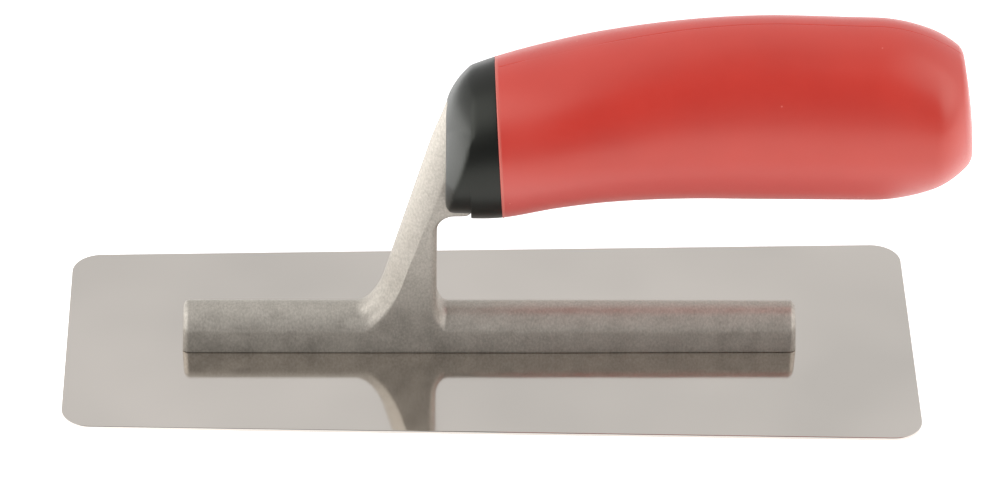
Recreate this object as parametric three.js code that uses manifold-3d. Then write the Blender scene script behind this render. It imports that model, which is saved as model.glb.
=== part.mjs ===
// A small finishing trowel: a thin polished blade, riveted from below to a cast aluminium bracket
// whose tang carries a two-material handle.
//
// Millimetres. The origin is the middle of the blade's working face. +X points to the heel, which is
// the handle's closed end, +Y lies across the blade and +Z points up from the blade to the handle.

import * as THREE from 'three';
import { mergeVertices } from 'three/addons/utils/BufferGeometryUtils.js';
import Module from 'manifold-3d';

const wasm = await Module();
wasm.setup();

// ---------- driving dimensions ----------

// Blade: flat stainless sheet, a little narrower at the toe.
const BLADE_LENGTH = 200;
const BLADE_HEEL_WIDTH = 80;
const BLADE_TOE_WIDTH = 70.3;
const BLADE_THICKNESS = 0.7;
const BLADE_CORNER_RADIUS = 7;

// Spine: the base of the casting, flat underneath, with rounded shoulders and soft ends.
const SPINE_LENGTH = 143.6;
const SPINE_OFFSET = -0.3; // its middle, from the middle of the blade
const SPINE_WIDTH = 10.9;
const SPINE_HEIGHT = 9.4;
const SPINE_SHOULDER_RADIUS = 4.4;
const SPINE_END_RADIUS = 1.2;

// Post: D-shaped in section, with a leaning half-round toe side and an upright flat heel side.
const POST_WIDTH = 10.9;
const POST_LEAN = 16; // degrees from upright, of the toe side
const POST_DEPTH_AT_FOOT = 15.1; // from toe side to heel side, level with the top of the spine
const POST_HEEL_X = -12.75;
const POST_CORNER_RADIUS = 1.2; // the two long edges of the heel side

// Foot: the filleted stretch where the post grows out of the spine.
const FOOT_TOE_FILLET = 6;
const FOOT_HEEL_FILLET = 3.2;
const FOOT_DEPTH = 5.4; // how far it runs down the spine's shoulders
const FOOT_TAPER = 1.5; // how much it narrows at each end on the way down
const FOOT_EDGE_ROUND = 1; // the toe side's rounding at the bottom of the foot

// Lip: the short shelf under the nose of the handle. Root: the post's top, inside the nose.
const FINGER_ROOM = 28.9; // from the top of the spine up to the lip
const LIP_LENGTH = 7.75; // from the post's heel side to the lip's end
const LIP_FILLET = 4;
const ROOT_BACK = 1; // flat depth behind the half-round at the top of the root

// Tang: tapered bar inside the handle.
const TANG_LENGTH = 78; // from the end of the lip
const TANG_RISE = 22.6; // its centre line, above the lip
const TANG_HEIGHT = 13;
const TANG_WIDTH = 8.6;
const TANG_END_HEIGHT = 10;
const TANG_END_WIDTH = 6.6;
const TANG_CORNER_RADIUS = 1.5;
const TANG_COVER = 0.6; // metal of the root above the tang

// Rivets: countersunk heads flush with the working face, shanks in blind holes of the spine.
const RIVET_COUNT = 6; // even, so that the middle of the blade stays clear
const RIVET_END_MARGIN = 11.8; // from the end of the spine to the last rivet
const RIVET_SHANK_RADIUS = 1.6;
const RIVET_HEAD_RADIUS = 2.9;
const RIVET_REACH = 5; // of the shank into the spine

// Nose: the black front of the handle, with a lower collar against the grip.
const NOSE_LENGTH = 12.2; // on the centre line
const NOSE_SETBACK = 2.15; // its front face, behind the post's heel side
const NOSE_TOP_RADIUS = 6.5;
const NOSE_SIDE_RADIUS = 6;
const NOSE_BOTTOM_RADIUS = 3;
const COLLAR_LENGTH = 6.1;
const COLLAR_DROP = 0.4; // its underside, below the lip
const COLLAR_STEP = 1.6; // the same, below the underside of the rest of the nose

// Core and grip: the core fills the grip, a soft red shell that is closed at its heel end.
const GRIP_LENGTH = 108;
const GRIP_WALL = 3;
const GRIP_END_WALL = 6;
const GRIP_FRONT_LEAN = 3.4; // degrees, of the joint between collar and grip
const GRIP_END_LEAN = 6; // degrees, of the closed end
const END_ROUND_LENGTH = 22; // long rounding towards the closed end, seen from the side
const END_ROUND_RADIUS = 28.8;
const PLAN_ROUND_LENGTH = 8.6; // the same, seen from above
const PLAN_ROUND_RADIUS = 6;
const END_EDGE_RADIUS = 1.5;
const END_DOME = 0.7;

// Handle sections: superellipses on a centre line that rises from the nose and then runs level.
// along is a share of the grip's length, 0 at its front edge. centre, a height above the underside
// of the collar, and height are shares of the largest height. width is a share of the largest width.
const HANDLE_HEIGHT = 45.2;
const HANDLE_WIDTH = 37.8;
const SECTION_POWER = 2.1; // 2 would be an ellipse
const STATIONS = [
  { along: -0.12, centre: 0.367, height: 0.735, width: 0.831 },
  { along: 0, centre: 0.427, height: 0.845, width: 0.921 },
  { along: 0.12, centre: 0.502, height: 0.854, width: 1 },
  { along: 0.23, centre: 0.553, height: 0.889, width: 0.984 },
  { along: 0.4, centre: 0.595, height: 0.96, width: 0.905 },
  { along: 0.55, centre: 0.606, height: 1, width: 0.868 },
  { along: 0.75, centre: 0.6, height: 0.991, width: 0.878 },
  { along: 1.05, centre: 0.588, height: 0.973, width: 0.889 },
];

// Clearance between pieces that are cut to fit each other.
const GAP = 0.3;

// Fineness of the round surfaces.
const SECTION_POINTS = 40;
const ARC_STEPS = 6;
const GRIP_RINGS = 24;

// ---------- places that follow ----------

const slope = (degrees) => Math.tan(THREE.MathUtils.degToRad(degrees));
const { lerp, clamp } = THREE.MathUtils;

const bladeTop = BLADE_THICKNESS;
const spineTop = bladeTop + SPINE_HEIGHT;
const footBottom = spineTop - FOOT_DEPTH;
const lipZ = spineTop + FINGER_ROOM;
const lipEndX = POST_HEEL_X + LIP_LENGTH;
const tangZ = lipZ + TANG_RISE;
const rootTop = tangZ + TANG_HEIGHT / 2 + TANG_COVER;
const handleBase = lipZ - COLLAR_DROP;
const noseFrontX = POST_HEEL_X + NOSE_SETBACK;
const gripFrontX = noseFrontX + NOSE_LENGTH;
const gripEndX = gripFrontX + GRIP_LENGTH;
const collarFrontX = gripFrontX - COLLAR_LENGTH;
const overlap = 1; // how deep joined solids reach into each other

// ---------- closed skins and solids ----------

// The whole numbers from 0 to count, as shares of count.
const shares = (count) => Array.from({ length: count + 1 }, (_, i) => i / count);

// A closed skin through rings of equally many points, with a fan over each end. Seen from the last
// ring, the points run counter-clockwise.
function skin(rings) {
  const count = rings[0].length;
  const centre = (ring) => ring.reduce((sum, p) => sum.add(p), new THREE.Vector3()).divideScalar(count);
  const points = [...rings.flat(), centre(rings[0]), centre(rings.at(-1))];
  const firstCentre = points.length - 2;
  const lastCentre = points.length - 1;
  const lastRing = (rings.length - 1) * count;
  const faces = [];
  for (let i = 0; i < count; i += 1) {
    const next = (i + 1) % count;
    for (let start = 0; start < lastRing; start += count) {
      const end = start + count;
      faces.push(start + i, start + next, end + next, start + i, end + next, end + i);
    }
    faces.push(firstCentre, next, i, lastCentre, lastRing + i, lastRing + next);
  }
  return new THREE.BufferGeometry().setFromPoints(points).setIndex(faces);
}

// The solid inside a closed geometry, ready to be joined or cut.
function solid(geometry) {
  geometry.deleteAttribute('normal');
  geometry.deleteAttribute('uv');
  const merged = mergeVertices(geometry);
  return new wasm.Manifold(new wasm.Mesh({
    numProp: 3,
    vertProperties: new Float32Array(merged.attributes.position.array),
    triVerts: new Uint32Array(merged.index.array),
  }));
}

// The geometry round a solid.
function surface(shape) {
  const { vertProperties, triVerts } = shape.getMesh();
  const geometry = new THREE.BufferGeometry();
  geometry.setAttribute('position', new THREE.BufferAttribute(vertProperties, 3));
  geometry.setIndex(new THREE.BufferAttribute(triVerts, 1));
  geometry.computeVertexNormals();
  return geometry;
}

const joined = (shapes) => shapes.reduce((all, shape) => all.add(shape));
const cut = (shape, tools) => tools.reduce((rest, tool) => rest.subtract(tool), shape);

// ---------- rivets ----------

const rivetPlaces = shares(RIVET_COUNT - 1).map((share) => (
  SPINE_OFFSET + (share - 0.5) * (SPINE_LENGTH - 2 * RIVET_END_MARGIN)
));

// A countersunk rivet at one place along the spine. With room it is the hole for the rivet, wider by
// that much and open below the working face.
function rivet(x, room = 0) {
  const head = RIVET_HEAD_RADIUS + room;
  const shank = RIVET_SHANK_RADIUS + room;
  const tip = bladeTop + RIVET_REACH + room;
  const profile = [[0, 0], [head, 0], [shank, bladeTop], [shank, tip], [0, tip]];
  if (room > 0) {
    profile.splice(0, 1, [0, -overlap], [head, -overlap]);
  }
  const turned = new THREE.LatheGeometry(profile.map(([r, z]) => new THREE.Vector2(r, z)), 4 * ARC_STEPS);
  turned.rotateX(Math.PI / 2);
  turned.translate(x, 0, 0);
  return solid(turned);
}

// ---------- blade ----------

// The trapezoid, with corners rounded by arcs that touch both sides.
function bladeOutline() {
  const x = BLADE_LENGTH / 2;
  const toe = BLADE_TOE_WIDTH / 2;
  const heel = BLADE_HEEL_WIDTH / 2;
  const corners = [[-x, -toe], [x, -heel], [x, heel], [-x, toe]].map(([a, b]) => new THREE.Vector2(a, b));
  const outline = new THREE.Shape();
  corners.forEach((corner, i) => {
    const back = corners.at(i - 1).clone().sub(corner).normalize();
    const ahead = corners[(i + 1) % corners.length].clone().sub(corner).normalize();
    const halfAngle = back.angleTo(ahead) / 2;
    const touch = BLADE_CORNER_RADIUS / Math.tan(halfAngle);
    const middle = back.clone().add(ahead).setLength(BLADE_CORNER_RADIUS / Math.sin(halfAngle));
    const from = back.clone().multiplyScalar(touch).sub(middle).angle();
    const to = ahead.clone().multiplyScalar(touch).sub(middle).angle();
    outline.absarc(corner.x + middle.x, corner.y + middle.y, BLADE_CORNER_RADIUS, from, to, false);
  });
  return outline;
}

function blade() {
  const sheet = new THREE.ExtrudeGeometry(bladeOutline(), {
    depth: BLADE_THICKNESS,
    bevelEnabled: false,
    curveSegments: ARC_STEPS,
  });
  return cut(solid(sheet), rivetPlaces.map((x) => rivet(x, GAP)));
}

// ---------- bracket ----------

// The spine's section at one place along it, drawn in at its sides and top near the ends.
function spineRing(x, inset) {
  const side = SPINE_WIDTH / 2 - inset;
  const top = spineTop - inset;
  const radius = SPINE_SHOULDER_RADIUS - inset;
  const arc = shares(ARC_STEPS).map((share) => (share * Math.PI) / 2);
  const left = arc.map((a) => [side - radius + radius * Math.cos(a), top - radius + radius * Math.sin(a)]);
  const right = [...left].reverse().map(([y, z]) => [-y, z]);
  return [[side, bladeTop], ...left, ...right, [-side, bladeTop]]
    .map(([y, z]) => new THREE.Vector3(x, y, z));
}

function spine() {
  const turn = shares(3).map((share) => (share * Math.PI) / 2);
  const heelEnd = turn.map((a) => [
    SPINE_LENGTH / 2 - SPINE_END_RADIUS * (1 - Math.sin(a)),
    SPINE_END_RADIUS * (1 - Math.cos(a)),
  ]);
  const toeEnd = [...heelEnd].reverse().map(([x, inset]) => [-x, inset]);
  return solid(skin([...toeEnd, ...heelEnd].map(([x, inset]) => spineRing(SPINE_OFFSET + x, inset))));
}

// The toe side's line at a height, without fillets.
const toeLine = (z) => POST_HEEL_X - POST_DEPTH_AT_FOOT + (z - spineTop) * slope(POST_LEAN);

// The toe side with the foot's fillet: an arc that touches the leaning line and the spine's top.
function toeSide(z) {
  const lean = THREE.MathUtils.degToRad(POST_LEAN);
  const arcZ = spineTop + FOOT_TOE_FILLET;
  const arcX = toeLine(arcZ) - FOOT_TOE_FILLET / Math.cos(lean);
  const touchZ = arcZ - FOOT_TOE_FILLET * Math.sin(lean);
  if (z >= touchZ) {
    return toeLine(z);
  }
  const below = Math.min(arcZ - z, FOOT_TOE_FILLET);
  return arcX + Math.sqrt(FOOT_TOE_FILLET ** 2 - below ** 2);
}

// The heel side, with the foot's fillet below and the lip's fillet above.
function heelSide(z) {
  const flare = (radius, fromFlat) => {
    const left = clamp(radius - fromFlat, 0, radius);
    return radius - Math.sqrt(radius ** 2 - left ** 2);
  };
  return POST_HEEL_X + flare(FOOT_HEEL_FILLET, z - spineTop) + flare(LIP_FILLET, lipZ - z);
}

// A D-shaped section: a half-ellipse at the toe side, flat sides and softened heel corners.
function postRing(z, toe, heel, round, room) {
  const side = POST_WIDTH / 2 + room;
  const corner = POST_CORNER_RADIUS;
  const nose = Math.min(round + room, heel - toe - corner);
  const corners = shares(2).map((share) => (share * Math.PI) / 2);
  const right = corners.map((a) => [heel - corner + corner * Math.sin(a), corner - side - corner * Math.cos(a)]);
  const left = [...right].reverse().map(([x, y]) => [x, -y]);
  const half = shares(2 * ARC_STEPS).map((share) => share * Math.PI);
  const front = half.map((a) => [toe + nose - nose * Math.sin(a), side * Math.cos(a)]);
  return [...right, ...left, ...front].map(([x, y]) => new THREE.Vector3(x, y, z));
}

function post() {
  const quick = shares(ARC_STEPS).map((share) => share ** 2);
  const flare = Math.max(FOOT_TOE_FILLET, FOOT_HEEL_FILLET);
  const levels = [footBottom, ...quick.map((share) => spineTop + flare * share)];
  levels.push(...quick.reverse().map((share) => lipZ - LIP_FILLET * share));
  const rings = levels.map((z) => {
    const below = clamp((spineTop - z) / FOOT_DEPTH, 0, 1);
    const taper = FOOT_TAPER * below;
    const round = lerp(POST_WIDTH / 2, FOOT_EDGE_ROUND, below);
    return postRing(z, toeSide(z) + taper, heelSide(z) - taper, round, 0);
  });
  const top = lipZ + overlap;
  rings.push(postRing(top, toeSide(top), heelSide(lipZ), POST_WIDTH / 2, 0));
  return solid(skin(rings));
}

// The lip and the root as one block. With room it is the recess for them, open below the nose.
function root(room = 0) {
  const bottom = room > 0 ? handleBase - overlap : lipZ;
  const rootHeel = toeLine(rootTop) + POST_WIDTH / 2 + ROOT_BACK;
  const ring = (z, heel) => postRing(z, toeLine(z) - room, heel + room, POST_WIDTH / 2, room);
  return solid(skin([ring(bottom, lipEndX), ring(rootTop + room, rootHeel)]));
}

// The tang, or with room its socket.
function tang(room = 0) {
  const ring = (x, width, height) => {
    const corner = TANG_CORNER_RADIUS;
    const y = width / 2 + room - corner;
    const z = height / 2 + room - corner;
    return [[y, z, 0], [-y, z, 1], [-y, -z, 2], [y, -z, 3]].flatMap(([cy, cz, quarter]) => (
      shares(2).map((share) => {
        const angle = ((quarter + share) * Math.PI) / 2;
        return new THREE.Vector3(x, cy + corner * Math.cos(angle), tangZ + cz + corner * Math.sin(angle));
      })
    ));
  };
  const start = ring(lipEndX - 2 * overlap, TANG_WIDTH, TANG_HEIGHT);
  const end = ring(lipEndX + TANG_LENGTH + room, TANG_END_WIDTH, TANG_END_HEIGHT);
  return solid(skin([start, end]));
}

function bracket() {
  const casting = joined([spine(), post(), root(), tang()]);
  return cut(casting, rivetPlaces.map((x) => rivet(x, GAP)));
}

// ---------- handle ----------

const stations = new THREE.CubicInterpolant(
  STATIONS.map(({ along }) => along),
  STATIONS.flatMap(({ centre, height, width }) => [centre, height, width]),
  3,
);

// How far a rounded edge has drawn in, at a depth behind the face that it starts from.
const drawnIn = (radius, depth) => {
  const left = clamp(radius - depth, 0, radius);
  return radius - Math.sqrt(radius ** 2 - left ** 2);
};

// The handle's outside at one place: the centre's height, the reach up and down, and the half width.
function section(x) {
  const [centre, height, width] = stations.evaluate((x - gripFrontX) / GRIP_LENGTH);
  const late = (length) => Math.max(0, x - gripEndX + length);
  const reach = (height * HANDLE_HEIGHT) / 2 - late(END_ROUND_LENGTH) ** 2 / (2 * END_ROUND_RADIUS);
  return {
    centre: handleBase + centre * HANDLE_HEIGHT,
    up: reach,
    down: reach,
    side: (width * HANDLE_WIDTH) / 2 - late(PLAN_ROUND_LENGTH) ** 2 / (2 * PLAN_ROUND_RADIUS),
  };
}

// The same for the nose in front of the collar: higher underneath, rounded towards its front face.
function noseSection(x) {
  const depth = x - noseFrontX;
  const { centre, up, down, side } = section(x);
  return {
    centre,
    up: up - drawnIn(NOSE_TOP_RADIUS, depth),
    down: down - COLLAR_STEP - drawnIn(NOSE_BOTTOM_RADIUS, depth),
    side: side - drawnIn(NOSE_SIDE_RADIUS, depth),
  };
}

// The lean of the sections: none at the nose, more at the joint, most at the closed end.
function leanAt(x) {
  if (x < gripFrontX) {
    return lerp(0, GRIP_FRONT_LEAN, (x - noseFrontX) / NOSE_LENGTH);
  }
  return lerp(GRIP_FRONT_LEAN, GRIP_END_LEAN, (x - gripFrontX) / GRIP_LENGTH);
}

// A ring round the handle that crosses its centre line at x. inset draws it in by a wall or a
// rounding, and share shrinks what is left towards the centre line.
function handleRing(x, { at = section, inset = 0, share = 1, push = 0 } = {}) {
  const bend = (value) => Math.sign(value) * Math.abs(value) ** (2 / SECTION_POWER);
  const lean = slope(leanAt(x)) * section(x).up;
  return Array.from({ length: SECTION_POINTS }, (_, i) => {
    const angle = (2 * Math.PI * i) / SECTION_POINTS;
    const across = bend(Math.cos(angle)) * share;
    const height = bend(Math.sin(angle)) * share;
    const { centre, up, down, side } = at(x - lean * height);
    const reach = (height > 0 ? up : down) - inset;
    return new THREE.Vector3(x - lean * height + push, across * (side - inset), centre + height * reach);
  });
}

// The part of the core that the grip surrounds, or with room the grip's hollow.
function filling(room = 0) {
  const start = gripFrontX - 2 * overlap;
  const end = gripEndX - GRIP_END_WALL + room;
  const rings = shares(GRIP_RINGS / 2).map((share) => (
    handleRing(lerp(start, end, share), { inset: GRIP_WALL - room })
  ));
  return solid(skin(rings));
}

function handleCore() {
  const quick = shares(ARC_STEPS).map((share) => share ** 2);
  const roundLength = Math.max(NOSE_TOP_RADIUS, NOSE_SIDE_RADIUS, NOSE_BOTTOM_RADIUS);
  const front = quick.map((share) => noseFrontX + roundLength * share);
  front.push(collarFrontX + overlap);
  const nose = solid(skin(front.map((x) => handleRing(x, { at: noseSection }))));
  const collarEnd = gripFrontX - GAP / 2;
  const collar = shares(2).map((share) => handleRing(lerp(collarFrontX, collarEnd, share)));
  return cut(joined([nose, solid(skin(collar)), filling()]), [root(GAP), tang(GAP)]);
}

function grip() {
  const start = gripFrontX + GAP / 2;
  const end = gripEndX - END_EDGE_RADIUS;
  const rings = shares(GRIP_RINGS).map((share) => handleRing(lerp(start, end, share)));
  const turn = shares(3).slice(1).map((share) => (share * Math.PI) / 2);
  turn.forEach((a) => {
    const x = end + END_EDGE_RADIUS * Math.sin(a);
    rings.push(handleRing(x, { inset: END_EDGE_RADIUS * (1 - Math.cos(a)) }));
  });
  [0.7, 0.35].forEach((share) => {
    rings.push(handleRing(gripEndX, { inset: END_EDGE_RADIUS, share, push: END_DOME * (1 - share ** 2) }));
  });
  return cut(solid(skin(rings)), [filling(GAP)]);
}

// ---------- materials and assembly ----------

const polishedSteel = new THREE.MeshStandardMaterial({ color: 0xc9c4be, metalness: 1, roughness: 0.1 });
const castAluminium = new THREE.MeshStandardMaterial({ color: 0xb3afa6, metalness: 0.9, roughness: 0.55 });
const rivetAluminium = new THREE.MeshStandardMaterial({ color: 0xbdbab5, metalness: 1, roughness: 0.3 });
const blackPlastic = new THREE.MeshStandardMaterial({ color: 0x2a2b29, metalness: 0, roughness: 0.45 });
const redRubber = new THREE.MeshStandardMaterial({ color: 0xc23a2e, metalness: 0, roughness: 0.5 });

const trowel = new THREE.Group();

function place(name, shape, material) {
  const mesh = new THREE.Mesh(surface(shape), material);
  mesh.name = name;
  trowel.add(mesh);
}

place('blade', blade(), polishedSteel);
place('bracket', bracket(), castAluminium);
rivetPlaces.forEach((x, i) => place(`rivet_${i + 1}`, rivet(x), rivetAluminium));
place('handle_core', handleCore(), blackPlastic);
place('grip', grip(), redRubber);

export default trowel;
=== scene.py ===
import math

import bmesh
import bpy
import numpy as np
from mathutils import Matrix, Vector


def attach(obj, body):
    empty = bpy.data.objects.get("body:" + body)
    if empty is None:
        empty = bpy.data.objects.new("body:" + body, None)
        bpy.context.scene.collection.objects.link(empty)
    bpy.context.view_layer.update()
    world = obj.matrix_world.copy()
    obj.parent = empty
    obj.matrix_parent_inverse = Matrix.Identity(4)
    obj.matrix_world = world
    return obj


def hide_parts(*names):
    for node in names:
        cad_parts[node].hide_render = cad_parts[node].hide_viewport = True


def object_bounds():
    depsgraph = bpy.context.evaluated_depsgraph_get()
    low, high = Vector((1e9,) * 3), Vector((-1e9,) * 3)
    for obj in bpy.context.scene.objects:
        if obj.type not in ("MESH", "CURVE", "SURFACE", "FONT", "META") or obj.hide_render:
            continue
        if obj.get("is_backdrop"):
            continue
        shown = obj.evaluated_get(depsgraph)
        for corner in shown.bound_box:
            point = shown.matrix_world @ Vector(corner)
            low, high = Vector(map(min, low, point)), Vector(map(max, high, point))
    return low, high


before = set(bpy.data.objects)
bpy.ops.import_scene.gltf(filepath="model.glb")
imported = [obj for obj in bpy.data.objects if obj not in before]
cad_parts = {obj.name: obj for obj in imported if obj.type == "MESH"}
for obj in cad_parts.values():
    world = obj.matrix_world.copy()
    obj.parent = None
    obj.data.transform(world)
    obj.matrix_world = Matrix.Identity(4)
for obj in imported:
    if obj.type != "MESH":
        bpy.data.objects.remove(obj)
cad_corners = [list(corner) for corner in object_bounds()]

# ---------- camera ----------
# A long lens that looks down at the trowel from a little to the left of its middle. Lens, place and
# angles follow from the blade's corners.

LENS = 207.09
SENSOR_WIDTH = 36
CAMERA_PLACE = (-0.02766, -1.10293, 0.77669)
YAW, PITCH_DOWN, ROLL = (math.radians(degrees) for degrees in (1.4817, 34.1112, 0.8986))

ahead = Vector((math.sin(YAW) * math.cos(PITCH_DOWN), math.cos(YAW) * math.cos(PITCH_DOWN),
                -math.sin(PITCH_DOWN)))
level = Vector((math.cos(YAW), -math.sin(YAW), 0))
upright = level.cross(ahead)
camera_right = math.cos(ROLL) * level + math.sin(ROLL) * upright
camera_up = math.cos(ROLL) * upright - math.sin(ROLL) * level
camera_turn = Matrix((camera_right, camera_up, -ahead)).transposed()

camera_data = bpy.data.cameras.new("camera")
camera_data.sensor_fit = "HORIZONTAL"
camera_data.sensor_width = SENSOR_WIDTH
camera_data.lens = LENS
camera = bpy.data.objects.new("camera", camera_data)
bpy.context.scene.collection.objects.link(camera)
camera.matrix_world = Matrix.Translation(CAMERA_PLACE) @ camera_turn.to_4x4()
bpy.context.scene.camera = camera
bpy.context.scene.view_settings.view_transform = "Standard"

# ---------- studio ----------
# A white table in a light tent. The tent is open in front, where the camera stands, so what faces the
# camera mirrors a darker window, as on the metal and the handle of the real tool. Two side panels and a
# weak one above light all pieces but the blade, whose mirror the side panels would turn pure white.

TABLE_SIZE = 12
TABLE_DROP = 0.00005  # below the working face, so that the two don't flicker
TABLE_WHITE = 0.82
TABLE_GLOW = 0.34  # light that comes up through the table
TABLE_SHEEN = 0.26  # what more the camera and mirrors see of it, up to pure white
LEFT_SHEEN, RIGHT_SHEEN = 1.8, 0.5  # the same beside the trowel, where the walls stand on the table
SIDE_FROM = (0.05, 0.2)  # distances from the middle at which that begins and is full
TABLE_END = (0.13, 0.3)  # distances in front; past them mirrors see the dark room, not the table
LEFT_LIGHT, RIGHT_LIGHT, BACK_LIGHT, OPENING_LIGHT = 1.2, 1.05, 0.78, 0.1  # the tent's walls and opening
WALLS_MEET = (-0.3, 0.3)  # sideways part of the direction, from the left wall's light to the right's
OPENING_SIDE = (0.4, 0.74)  # sideways part, from inside the opening to outside
OPENING_BACK = (-0.72, 0.4)  # backward part, from the opening's top over the roof to the back wall


def set_inputs(tree, node, inputs):
    """Each input set to a value or linked to another node's output."""
    for name, value in inputs.items():
        if isinstance(value, bpy.types.NodeSocket):
            tree.links.new(value, node.inputs[name])
        else:
            node.inputs[name].default_value = value


def add_node(tree, kind, inputs=None, **settings):
    """A new node with its settings and its inputs."""
    made = tree.nodes.new(kind)
    for name, value in settings.items():
        setattr(made, name, value)
    set_inputs(tree, made, inputs or {})
    return made


def add_math(tree, operation, first, second, clamp=False):
    """The output of one arithmetic node."""
    made = add_node(tree, "ShaderNodeMath", {0: first, 1: second}, operation=operation, use_clamp=clamp)
    return made.outputs[0]


def remap(tree, value, given, wanted):
    """The value, moved from the given scale to the wanted one, and held between its two ends."""
    return add_node(tree, "ShaderNodeMapRange",
                    {0: value, 1: given[0], 2: given[1], 3: wanted[0], 4: wanted[1]}).outputs[0]


def soft_step(tree, value, edges):
    """0 below the first edge, 1 above the second, and a smooth rise between them."""
    return add_node(tree, "ShaderNodeMapRange", {0: value, 1: edges[0], 2: edges[1], 3: 0.0, 4: 1.0},
                    interpolation_type="SMOOTHSTEP").outputs[0]


def ray_is(tree, *kinds):
    """1 for rays of these kinds, and 0 for all others."""
    path = add_node(tree, "ShaderNodeLightPath")
    found = 0.0
    for kind in kinds:
        found = add_math(tree, "ADD", found, path.outputs[f"Is {kind} Ray"], clamp=True)
    return found


def light_tent():
    """Walls of light at both sides and behind, and a darker opening in front. The camera sees pure white."""
    world = bpy.data.worlds.new("tent")
    world.use_nodes = True
    tree = world.node_tree
    tree.nodes.clear()
    direction = add_node(tree, "ShaderNodeTexCoord").outputs["Generated"]
    parts = add_node(tree, "ShaderNodeSeparateXYZ", {0: direction})
    beside = soft_step(tree, add_math(tree, "ABSOLUTE", parts.outputs["X"], 0.0), OPENING_SIDE)
    behind = soft_step(tree, parts.outputs["Y"], OPENING_BACK)
    rightwards = soft_step(tree, parts.outputs["X"], WALLS_MEET)
    wall_light = remap(tree, rightwards, (0, 1), (LEFT_LIGHT, RIGHT_LIGHT))
    side_walls = add_math(tree, "MULTIPLY", beside, wall_light)
    back_wall = add_math(tree, "MULTIPLY", behind, BACK_LIGHT)
    walls = add_math(tree, "MAXIMUM", add_math(tree, "MAXIMUM", side_walls, back_wall), OPENING_LIGHT)
    strength = add_math(tree, "MAXIMUM", walls, ray_is(tree, "Camera", "Transmission"))
    glow = add_node(tree, "ShaderNodeBackground", {"Color": (1, 1, 1, 1), "Strength": strength})
    add_node(tree, "ShaderNodeOutputWorld", {"Surface": glow.outputs[0]})
    return world


def table_finish():
    """White, with light coming up through it. The camera and mirrors see more of that light than falls on
    the pieces, most of all beside the trowel, and far in front mirrors see the dark room instead."""
    paint = bpy.data.materials.new("white_table")
    paint.use_nodes = True
    tree = paint.node_tree
    tree.nodes.clear()
    place = add_node(tree, "ShaderNodeTexCoord").outputs["Object"]
    parts = add_node(tree, "ShaderNodeSeparateXYZ", {0: place})
    leftwards = add_math(tree, "MULTIPLY", parts.outputs["X"], -1.0)
    forwards = add_math(tree, "MULTIPLY", parts.outputs["Y"], -1.0)
    on_left = add_math(tree, "MULTIPLY", soft_step(tree, leftwards, SIDE_FROM), LEFT_SHEEN)
    on_right = add_math(tree, "MULTIPLY", soft_step(tree, parts.outputs["X"], SIDE_FROM), RIGHT_SHEEN)
    sheen = add_math(tree, "ADD", add_math(tree, "ADD", on_left, on_right), TABLE_SHEEN)
    sheen = add_math(tree, "MULTIPLY", sheen, ray_is(tree, "Camera", "Glossy", "Transmission"))
    shade = add_node(tree, "ShaderNodeBsdfDiffuse", {"Color": (TABLE_WHITE, TABLE_WHITE, TABLE_WHITE, 1)})
    light = add_node(tree, "ShaderNodeEmission", {"Strength": add_math(tree, "ADD", sheen, TABLE_GLOW)})
    surface = add_node(tree, "ShaderNodeAddShader", {0: shade.outputs[0], 1: light.outputs[0]})
    room = add_node(tree, "ShaderNodeEmission", {"Strength": OPENING_LIGHT})
    room_seen = add_math(tree, "MULTIPLY", ray_is(tree, "Glossy"), soft_step(tree, forwards, TABLE_END))
    shown = add_node(tree, "ShaderNodeMixShader", {0: room_seen, 1: surface.outputs[0], 2: room.outputs[0]})
    add_node(tree, "ShaderNodeOutputMaterial", {"Surface": shown.outputs[0]})
    return paint


bpy.context.scene.world = light_tent()

table_mesh = bpy.data.meshes.new("table")
table_corners = np.array([(-1, -1), (1, -1), (1, 1), (-1, 1)]) * TABLE_SIZE / 2
table_mesh.from_pydata([(x, y, -TABLE_DROP) for x, y in table_corners], [], [(0, 1, 2, 3)])
table_mesh.materials.append(table_finish())
table = bpy.data.objects.new("table", table_mesh)
bpy.context.scene.collection.objects.link(table)
table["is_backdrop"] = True

# The blade is put in this collection below, as excluded, so the panels light all pieces but the blade.
panel_receivers = bpy.data.collections.new("panel_receivers")
for name, place, size, watts, in_mirrors in (
    ("left_panel", (-1.22, -0.48, 0.97), 1.6, 10.4, True),
    ("right_panel", (1.15, -0.6, 0.94), 1.6, 8.4, True),
    ("top_panel", (0, -0.1, 1.3), 1.0, 1.5, False),
):
    panel = bpy.data.lights.new(name, "AREA")
    panel.size = size
    panel.energy = watts
    lamp = bpy.data.objects.new(name, panel)
    lamp.location = place
    lamp.rotation_mode = "QUATERNION"
    lamp.rotation_quaternion = (-Vector(place)).to_track_quat("-Z", "Y")
    lamp.visible_camera = False
    lamp.visible_glossy = in_mirrors
    lamp.light_linking.receiver_collection = panel_receivers
    bpy.context.scene.collection.objects.link(lamp)

# ---------- blade ----------
# Stainless sheet, cut to a trapezoid with rounded corners and polished to a mirror. Six countersunk
# holes along its middle take the rivets. Its edges are broken by a fine radius all round.

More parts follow.
